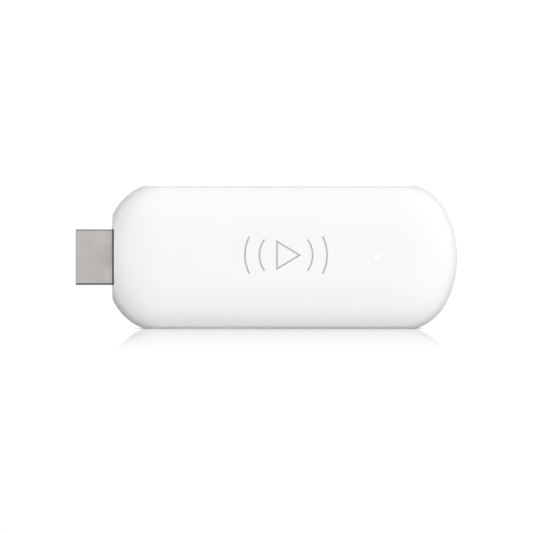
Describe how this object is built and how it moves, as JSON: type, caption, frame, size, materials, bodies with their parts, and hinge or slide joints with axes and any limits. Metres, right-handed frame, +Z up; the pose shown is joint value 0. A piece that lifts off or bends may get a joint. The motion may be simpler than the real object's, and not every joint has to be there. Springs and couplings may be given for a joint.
{
  "type": "streaming media player",
  "caption": "Oval white streaming stick with a fixed HDMI plug on its flat end, a status light in its face, and a USB-C inlet and a sprung pairing button in one long side.",
  "frame": {"origin": "middle of the base of the object's box; the stick stands on one long narrow side, on the pads at both ends of that side", "axes": "+X from the plug towards the round far end, the front face looks towards -Y, +Z up"},
  "size_m": [0.0954, 0.014, 0.0358],
  "materials": {
    "casing": "satin white moulded plastic",
    "button": "satin",
    "light_pipe": "milky, clear",
    "led": "gloss",
    "label": "matte",
    "connector_steel": "fine brushed nickel plate",
    "connector_plastic": "matte",
    "contacts": "gold plate",
    "board": "solder mask",
    "chips": "moulded",
    "inductors": "matte",
    "capacitors": "ceramic",
    "resistors": "gloss",
    "shield_tin": "tin plate",
    "antenna": "nickel plate",
    "thermal_pads": "soft matte",
    "heat_sink": "cast, satin",
    "screws": "zinc plate",
    "foam": "foam",
    "graphite": "graphite film",
    "switch_plastic": "matte"
  },
  "bodies": {
    "stick": {"front_shell": "casing", "rear_shell": "casing", "light_pipe": "light_pipe", "status_led": "led", "rating_label": "label", "hdmi_plug_shell": "connector_steel", "usb_receptacle_shell": "connector_steel", "hdmi_plug_insulator": "connector_plastic", "usb_tongue": "connector_plastic", "plug_collar": "connector_plastic", "hdmi_front_contacts": "contacts", "hdmi_rear_contacts": "contacts", "usb_contacts": "contacts", "main_board": "board", "wifi_module_board": "board", "processor": "chips", "memory_chips": "chips", "flash_chip": "chips", "power_chip": "chips", "power_inductors": "inductors", "board_capacitors": "capacitors", "board_resistors": "resistors", "shield_frame": "shield_tin", "shield_lid": "shield_tin", "wifi_module_can": "shield_tin", "clock_crystal": "shield_tin", "switch_cover": "shield_tin", "switch_dome": "shield_tin", "upper_antenna": "antenna", "lower_antenna": "antenna", "chip_thermal_pads": "thermal_pads", "shield_thermal_pad": "thermal_pads", "heat_sink": "heat_sink", "board_screws": "screws", "cushion_pads": "foam", "graphite_sheet": "graphite", "switch_body": "switch_plastic"},
    "button": {"pairing_button": "button"},
    "plunger": {"switch_plunger": "switch_plastic"}
  },
  "joints": [
    {"name": "button_press", "type": "slide", "parent": "stick", "child": "button", "axis": [0, 0, -1], "range_m": [0, 0.00025], "stiffness_N_per_m": 4000},
    {"name": "plunger_press", "type": "slide", "parent": "stick", "child": "plunger", "axis": [0, 0, -1], "range_m": [0, 0.00025], "deforming": ["switch_dome"]}
  ],
  "couplings": [
    {"joint": "plunger_press", "follows": "button_press", "ratio": 1}
  ]
}
